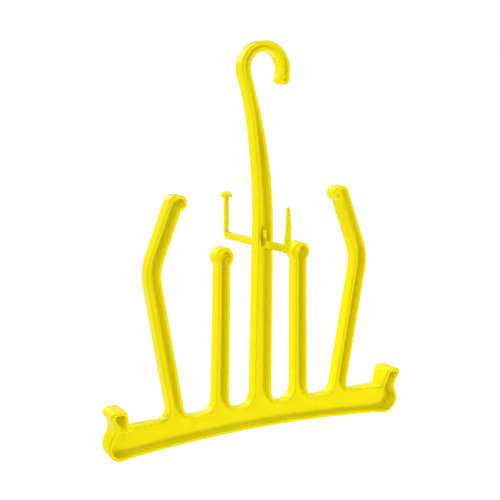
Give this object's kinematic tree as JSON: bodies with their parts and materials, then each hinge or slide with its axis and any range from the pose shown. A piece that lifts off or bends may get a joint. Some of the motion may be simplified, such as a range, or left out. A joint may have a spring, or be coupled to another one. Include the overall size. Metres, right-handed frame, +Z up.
{
  "type": "multi-hook hanger",
  "caption": "One-piece moulded multi-hook hanger: open rod hook, bowed stem, curved base bar with upturned ears, upright arms with knobbed or hooked tips, and pegs fore and aft of the stem.",
  "frame": {"origin": "centre of the hook's bore, half way through the thickness", "axes": "+Z up along the stem, +X to the right along the bar, +Y to the back, along the rod the hook hangs on"},
  "size_m": [0.3632, 0.1498, 0.4282],
  "materials": {
    "moulded_plastic": "glossy as moulded"
  },
  "bodies": {
    "root": {"hanger": "moulded_plastic"}
  },
  "joints": []
}
